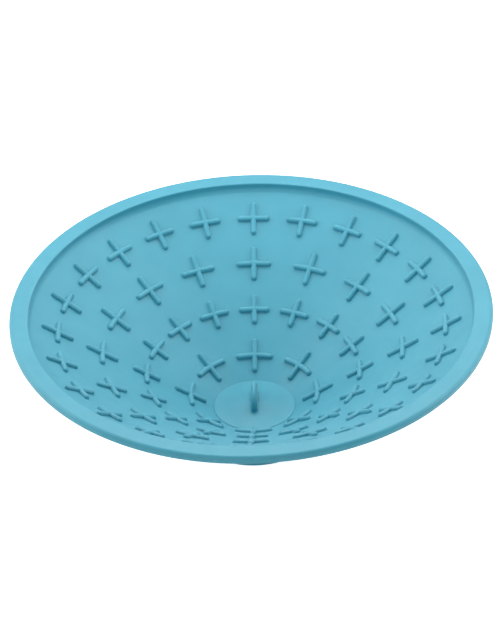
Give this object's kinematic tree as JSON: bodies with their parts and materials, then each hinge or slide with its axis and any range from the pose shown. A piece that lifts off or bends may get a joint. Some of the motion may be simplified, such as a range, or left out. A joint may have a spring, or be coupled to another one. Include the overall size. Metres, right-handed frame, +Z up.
{
  "type": "lick mat",
  "caption": "Soft dished lick mat with a flat raised rim, rings of raised crosses inside its cone, and a suction foot whose plug and grip fin show in the middle.",
  "frame": {"origin": "centre of the sealing lip's underside, on the table", "axes": "+Z up along the mat's axis, +Y through a cross of every ring and along the fin"},
  "size_m": [0.19, 0.19, 0.0577],
  "materials": {
    "mat": "satin turquoise silicone, moulded smooth",
    "foot": "satin turquoise silicone, moulded smooth"
  },
  "bodies": {
    "mat": {"mat_wall": "mat", "mat_rim": "mat", "mat_floor": "mat", "crosses_outer": "mat", "crosses_second": "mat", "crosses_third": "mat", "crosses_inner": "mat"},
    "foot": {"foot_disc": "foot", "foot_fin": "foot", "cup_roof": "foot", "cup_skirt": "foot", "sealing_lip": "foot"}
  },
  "joints": [
    {"name": "foot_swivel", "type": "hinge", "parent": "mat", "child": "foot", "pos_m": [0, 0, 0.0073], "axis": [0, 0, 1], "continuous": true}
  ]
}
